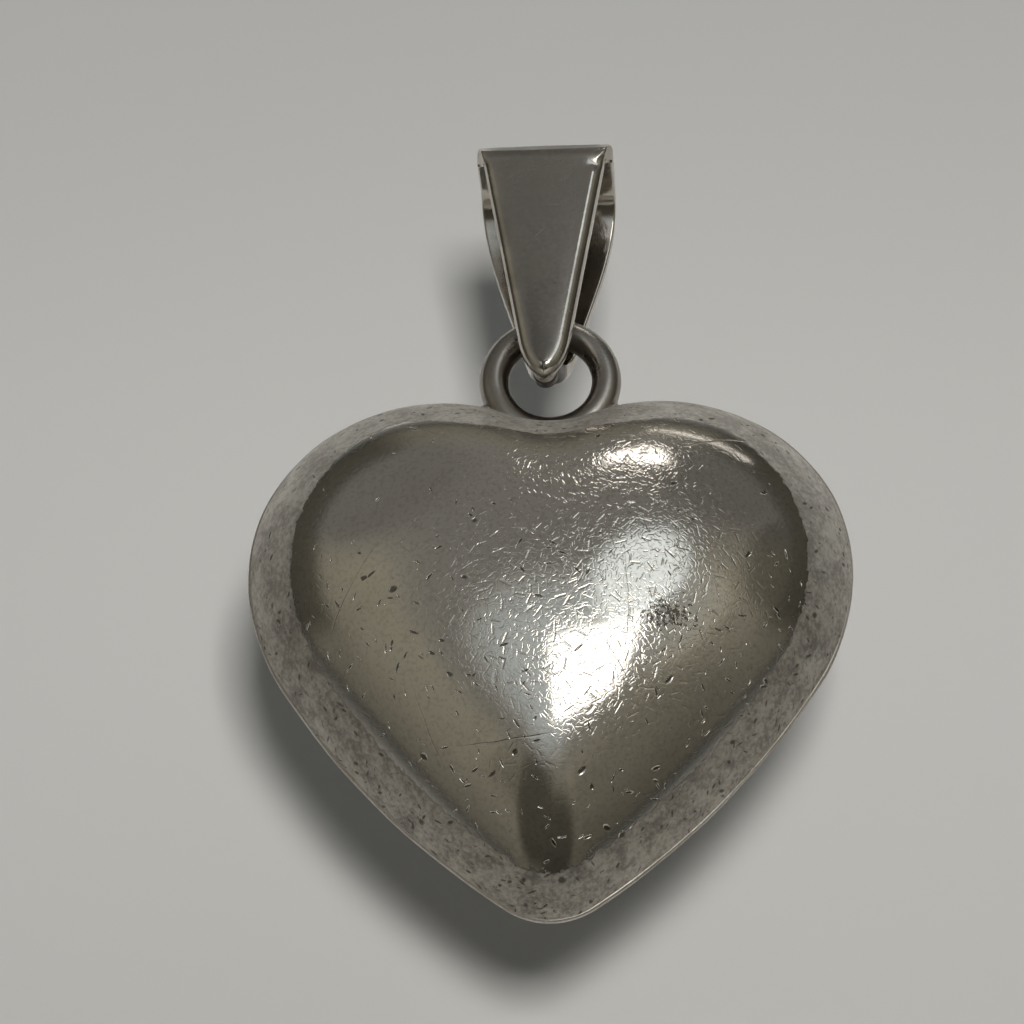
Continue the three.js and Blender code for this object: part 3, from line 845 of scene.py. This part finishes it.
def worn_silver():
    """Silver of the ring and the bail: bright where it rubs, dull and cloudy in the middle of the bail's
    face, and dark in the cradle where the ring sits, with grime and painted shade."""
    material, tree, shader, place = silver("worn_silver")
    dull = add(tree, "ShaderNodeAttribute", attribute_name="dull").outputs["Fac"]
    scratch = use(tree, HAIRLINES, Place=place, Spacing=0.8, Size=0.03, Share=0.5)
    pits = use(tree, PITS, Place=place, Spacing=0.7, Size=0.06, Share=0.4, Slim=1.0)
    cloud = noise(tree, place, 0.55, 4.0, 0.6)
    grain = noise(tree, place, 5.0, 3.0, 0.6)
    bloom = use(tree, TARNISH, Place=place, Held=cloud)
    clouded = ease(tree, cloud, 0.35, 0.7)
    tone = mix_colour(tree, clouded, (0.64, 0.6, 0.54, 1), (0.52, 0.485, 0.435, 1))
    faded = calc(tree, "MULTIPLY", dull, calc(tree, "MULTIPLY_ADD", grain, 0.5, 0.5))
    tone = mix_colour(tree, faded, tone, (0.24, 0.222, 0.2, 1))
    tone = mix_colour(tree, calc(tree, "MULTIPLY", bloom, 0.25), tone, (0.33, 0.28, 0.235, 1))
    # Grime and painted shade: near black in the cradle where the ring sits
    grime_and_shade = ease(tree, dull, 2.0, 3.0, 0.0, 0.85)
    tone = mix_colour(tree, grime_and_shade, tone, (0.07, 0.06, 0.05, 1))
    tone = mix_colour(tree, calc(tree, "MULTIPLY", pits, 0.6), tone, (0.12, 0.1, 0.09, 1))
    matt = calc(tree, "MINIMUM", dull, 1.0)
    roughness = weighted_sum(tree, (cloud, 0.07), (grain, 0.05), (bloom, 0.05), (matt, 0.22))
    roughness = calc(tree, "ADD", roughness, 0.05)
    height = weighted_sum(tree, (scratch, -0.003), (pits, -0.012), (grain, 0.004), (cloud, 0.015))
    finish(tree, shader, tone, roughness, height)
    return material


def solder():
    """Hard solder: paler than the sheet, grainy from the torch."""
    material, tree, shader, place = silver("solder")
    pits = use(tree, PITS, Place=place, Spacing=0.5, Size=0.07, Share=0.5, Slim=1.0)
    grain = noise(tree, place, 6.0, 4.0, 0.65)
    bloom = use(tree, TARNISH, Place=place, Held=grain)
    tone = mix_colour(tree, ease(tree, grain, 0.3, 0.7), (0.66, 0.62, 0.56, 1), (0.52, 0.48, 0.43, 1))
    tone = mix_colour(tree, calc(tree, "MULTIPLY", bloom, 0.4), tone, (0.38, 0.31, 0.25, 1))
    tone = mix_colour(tree, calc(tree, "MULTIPLY", pits, 0.7), tone, (0.1, 0.085, 0.07, 1))
    roughness = calc(tree, "ADD", weighted_sum(tree, (grain, 0.2), (bloom, 0.1)), 0.2)
    finish(tree, shader, tone, roughness, weighted_sum(tree, (grain, 0.025), (pits, -0.02)))
    return material


def dress(material, *things):
    for thing in things:
        thing.data.materials.clear()
        thing.data.materials.append(material)


dress(polished_silver(), heart_front, heart_back)
dress(worn_silver(), ring, bail)
dress(solder(), seam, fillet_left, fillet_right, tip_solder)


# Backdrop

PAPER_LEAN = math.radians(7.6)
PAPER_BEHIND = 0.031  # leaves room for the heart to swing
PAPER_REACH = 0.8
PAPER_NORMAL = np.array([0.0, -math.cos(PAPER_LEAN), math.sin(PAPER_LEAN)])


def backdrop_surface(size, behind):
    """A flat square that leans back, a distance behind the heart's middle."""
    s = np.linspace(-size, size, 3)
    u, v = np.meshgrid(s, s)
    up = np.array([0.0, math.sin(PAPER_LEAN), math.cos(PAPER_LEAN)])
    middle = np.array([HEART_ASIDE, 0.0, WIDEST_LINE]) * MM - PAPER_NORMAL * behind
    points = middle + u[..., None] * np.array([1.0, 0, 0]) + v[..., None] * up
    n = len(s)
    i = (np.arange(n - 1)[:, None] * n + np.arange(n - 1)).ravel()
    return points.reshape(-1, 3), np.stack([i, i + 1, i + n + 1, i + n], axis=-1).tolist()


def backdrop_paper():
    """Pale matt paper that shows from the front only, so the heart's back can be seen too. It is painted
    paler towards the top, as painted light that evens out the lamp's fall-off. Away from the lamp's round
    it glows as pale for the camera, and round the heart and above it, it glows for rays that the metal
    mirrors: a painted reflection."""
    material = bpy.data.materials.new("pale_backdrop")
    material.use_nodes = True
    tree = material.node_tree
    shader = tree.nodes["Principled BSDF"]
    where = add(tree, "ShaderNodeTexCoord").outputs["Object"]
    high = add(tree, "ShaderNodeSeparateXYZ", {"Vector": where}).outputs["Z"]
    far = vector_calc(tree, "DISTANCE", where, (0.0, 0.03, WIDEST_LINE * MM))
    # Painted light: paler towards the top, to even out the paper lamp's fall-off
    rise = ease(tree, high, -0.045, 0.012)
    tone = mix_colour(tree, rise, (0.72, 0.718, 0.702, 1), (0.93, 0.928, 0.91, 1))
    tree.links.new(tone, shader.inputs["Base Color"])
    tree.links.new(tone, shader.inputs["Emission Color"])
    # Painted reflection: a glow round the heart and above it, seen only in the metal
    round_heart = ease(tree, far, 0.06, 0.14, 0.0, 0.5)
    mirrored = calc(tree, "MULTIPLY", round_heart, ease(tree, far, 0.2, 0.26, 1.0, 0.0))
    mirrored = calc(tree, "MULTIPLY", mirrored, ease(tree, high, -0.04, 0.1))
    ray = add(tree, "ShaderNodeLightPath")
    seen = calc(tree, "MULTIPLY", ray.outputs["Is Camera Ray"], ease(tree, far, 0.04, 0.3, 0.0, 0.46))
    glow = calc(tree, "MULTIPLY_ADD", ray.outputs["Is Glossy Ray"], mirrored, seen)
    tree.links.new(glow, shader.inputs["Emission Strength"])
    shader.inputs["Roughness"].default_value = 0.9
    shader.inputs["Specular IOR Level"].default_value = 0.1
    clear = add(tree, "ShaderNodeBsdfTransparent")
    which_side = add(tree, "ShaderNodeNewGeometry").outputs["Backfacing"]
    sockets = {0: which_side, 1: shader.outputs["BSDF"], 2: clear.outputs["BSDF"]}
    one_sided = add(tree, "ShaderNodeMixShader", sockets)
    tree.links.new(one_sided.outputs["Shader"], tree.nodes["Material Output"].inputs["Surface"])
    return material


backdrop_points, backdrop_faces = backdrop_surface(PAPER_REACH, PAPER_BEHIND)
backdrop_mesh = bpy.data.meshes.new("backdrop")
backdrop_mesh.from_pydata(backdrop_points.tolist(), [], backdrop_faces)
backdrop_mesh.materials.append(backdrop_paper())
backdrop = bpy.data.objects.new("backdrop", backdrop_mesh)
bpy.context.scene.collection.objects.link(backdrop)


# Studio light

AIM = Vector((HEART_ASIDE * MM, 0, WIDEST_LINE * MM))


def soft_lamp(name, direction, distance, width, height, power, roll_deg=0.0):
    """A soft rectangular lamp at a distance along a direction from the heart, facing it."""
    lamp = bpy.data.lights.new(name, "AREA")
    lamp.shape = "RECTANGLE"
    lamp.size = width
    lamp.size_y = height
    lamp.energy = power
    lamp.color = (1, 0.98, 0.95)
    thing = bpy.data.objects.new(name, lamp)
    way = Vector(direction).normalized()
    thing.location = AIM + way * distance
    turn = way.to_track_quat("Z", "Y")
    turn.rotate(Quaternion(way, math.radians(roll_deg)))
    thing.rotation_euler = turn.to_euler()
    thing.visible_camera = False
    bpy.context.scene.collection.objects.link(thing)
    return thing


main_lamp = soft_lamp(
    "main_lamp",
    direction=(0.25, -0.966, -0.07),
    distance=0.5,
    width=0.25,
    height=0.23,
    power=0.44,
    roll_deg=8.0,
)
top_lamp = soft_lamp(
    "top_lamp",
    direction=(0.2, -0.36, 0.91),
    distance=0.5,
    width=0.105,
    height=0.075,
    power=0.075,
)
side_strip = soft_lamp(
    "side_strip",
    direction=(0.345, -0.02, 0.938),
    distance=0.5,
    width=0.014,
    height=0.2,
    power=0.012,
)
paper_lamp = soft_lamp(
    "paper_lamp",
    direction=(0.0611, -0.9452, -0.3206),
    distance=0.2,
    width=0.016,
    height=0.016,
    power=0.277,
)
for on_metal in (main_lamp, top_lamp, side_strip):
    on_metal.visible_diffuse = False
paper_lamp.visible_glossy = False


# Room

PAPER_TINT = (1, 0.99, 0.97)
WARM_TINT = (1, 0.95, 0.78)
PLAIN_TINT = (1, 0.985, 0.93)

# Cosine from the paper's normal, level, tint
ROOM_LEVELS = (
    (-1.0, 0.3, PAPER_TINT),
    (-0.3, 0.28, PAPER_TINT),
    (-0.15, 0.06, PLAIN_TINT),
    (-0.04, 0.06, PLAIN_TINT),
    (0.03, 0.13, WARM_TINT),
    (0.14, 0.145, WARM_TINT),
    (0.38, 0.2, WARM_TINT),
    (0.67, 0.23, WARM_TINT),
    (0.82, 0.165, PLAIN_TINT),
    (1.0, 0.165, PLAIN_TINT),
)

# Direction, cosines where the place starts and is full, level inside
DARK_PLACES = (
    ((-0.241, -0.596, -0.766), 0.87, 0.965, 0.3),
    ((0.11, -0.47, -0.876), 0.88, 0.97, 0.3),
    ((0.711, -0.393, -0.582), 0.86, 0.96, 0.75),
    ((-0.55, -0.25, 0.8), 0.9, 0.96, 0.85),
    ((0.91, -0.23, 0.34), 0.945, 0.975, 0.5),
    ((0.533, -0.308, 0.788), 0.93, 0.97, 0.75),
)
PALE_PLACES = (
    ((0.02, -0.9985, -0.05), 0.84, 0.985, 1.8),
    ((0.377, -0.847, 0.375), 0.965, 0.99, 5.0),
    ((0.64, -0.76, 0.1), 0.94, 0.985, 0.7),
)


def room_ramp(tree, facing):
    """The room's colour by how far a direction turns from the paper's plane towards the viewer."""
    spread = add(tree, "ShaderNodeMapRange", {"Value": facing, "From Min": -1.0}).outputs["Result"]
    ramp = add(tree, "ShaderNodeValToRGB", {"Fac": spread})
    stops = ramp.color_ramp.elements
    for number, (facing_at, level, tint) in enumerate(ROOM_LEVELS):
        position = facing_at / 2 + 0.5
        stop = stops[number] if number < 2 else stops.new(position)
        stop.position = position
        stop.color = (level * tint[0], level * tint[1], level * tint[2], 1)
    return ramp.outputs["Color"]


def room():
    """A dim room: darkest along the paper's plane, warm beside the object, plain towards the viewer and
    overhead. It has dark places low in front and high on both sides, a dark skirting at both sides of
    the paper, and three pale places round the main lamp. Little of it falls on the paper, and the camera
    sees one pale tone in its place."""
    world = bpy.data.worlds.new("studio")
    world.use_nodes = True
    tree = world.node_tree
    way = add(tree, "ShaderNodeTexCoord").outputs["Generated"]
    across = add(tree, "ShaderNodeSeparateXYZ", {"Vector": way}).outputs
    aside = calc(tree, "ABSOLUTE", across["X"])
    up = across["Z"]
    facing = vector_calc(tree, "DOT_PRODUCT", way, tuple(PAPER_NORMAL))

    shade = 1.0
    for centre, edge, inside, level in DARK_PLACES:
        near = vector_calc(tree, "DOT_PRODUCT", way, centre)
        shade = calc(tree, "MINIMUM", shade, ease(tree, near, edge, inside, 1.0, level))
    skirting = ease(tree, aside, 0.25, 0.45)
    skirting = calc(tree, "MULTIPLY", skirting, ease(tree, facing, 0.2, 0.34, 1.0, 0.0))
    skirting = calc(tree, "MULTIPLY", skirting, ease(tree, up, -0.15, 0.1))
    shade = calc(tree, "MINIMUM", shade, calc(tree, "MULTIPLY_ADD", skirting, -0.6, 1.0))

    glow = 0.0
    for centre, edge, inside, level in PALE_PLACES:
        near = vector_calc(tree, "DOT_PRODUCT", way, centre)
        glow = calc(tree, "ADD", glow, ease(tree, near, edge, inside, 0.0, level))

    lighter_above = vector_calc(tree, "DOT_PRODUCT", way, (-0.06, 0.0, 0.15))
    strength = calc(tree, "ADD", lighter_above, 1.0)
    strength = calc(tree, "MULTIPLY", strength, shade)
    strength = calc(tree, "ADD", strength, glow)
    ray = add(tree, "ShaderNodeLightPath")
    on_paper = calc(tree, "MULTIPLY_ADD", ray.outputs["Is Diffuse Ray"], -0.65, 1.0)
    strength = calc(tree, "MULTIPLY", strength, on_paper)

    overhead = calc(tree, "MULTIPLY", ease(tree, up, 0.35, 0.6), ease(tree, facing, 0.1, 0.3))
    colour = mix_colour(tree, overhead, room_ramp(tree, facing), (0.15, 0.147, 0.139, 1))
    colour = mix_colour(tree, ease(tree, glow, 0.2, 1.5), colour, (0.15, 0.163, 0.168, 1))
    background = tree.nodes["Background"]
    tree.links.new(colour, background.inputs["Color"])
    tree.links.new(strength, background.inputs["Strength"])
    plain = add(tree, "ShaderNodeBackground", {"Color": (0.46, 0.457, 0.44, 1), "Strength": 1.0})
    sockets = {0: ray.outputs["Is Camera Ray"], 1: background.outputs[0], 2: plain.outputs[0]}
    seen = add(tree, "ShaderNodeMixShader", sockets)
    tree.links.new(seen.outputs["Shader"], tree.nodes["World Output"].inputs["Surface"])
    return world


bpy.context.scene.world = room()


# Camera

AZIMUTH = math.radians(1.4)
ELEVATION = math.radians(-26.0)
CAMERA_AWAY = 155.0  # millimetres from the heart's middle
SENSOR_WIDTH = 36
PICTURE_WIDTH = 1024  # pixels, and so are the next three
PIXELS_PER_MM = 24.0
HEART_COLUMN = 550.35
HEART_ROW = 569.2

camera_data = bpy.data.cameras.new("camera")
camera_data.sensor_width = SENSOR_WIDTH
camera_data.lens = PIXELS_PER_MM * CAMERA_AWAY / PICTURE_WIDTH * SENSOR_WIDTH
camera_data.shift_x = -(HEART_COLUMN - PICTURE_WIDTH / 2) / PICTURE_WIDTH
camera_data.shift_y = (HEART_ROW - PICTURE_WIDTH / 2) / PICTURE_WIDTH
camera_data.clip_start = 0.005
camera = bpy.data.objects.new("camera", camera_data)
out = Vector(
    (
        math.sin(AZIMUTH) * math.cos(ELEVATION),
        -math.cos(AZIMUTH) * math.cos(ELEVATION),
        math.sin(ELEVATION),
    )
)
camera.location = AIM + out * (CAMERA_AWAY * MM)
camera.rotation_euler = out.to_track_quat("Z", "Y").to_euler()
bpy.context.scene.collection.objects.link(camera)
bpy.context.scene.camera = camera
bpy.context.scene.view_settings.view_transform = "Standard"
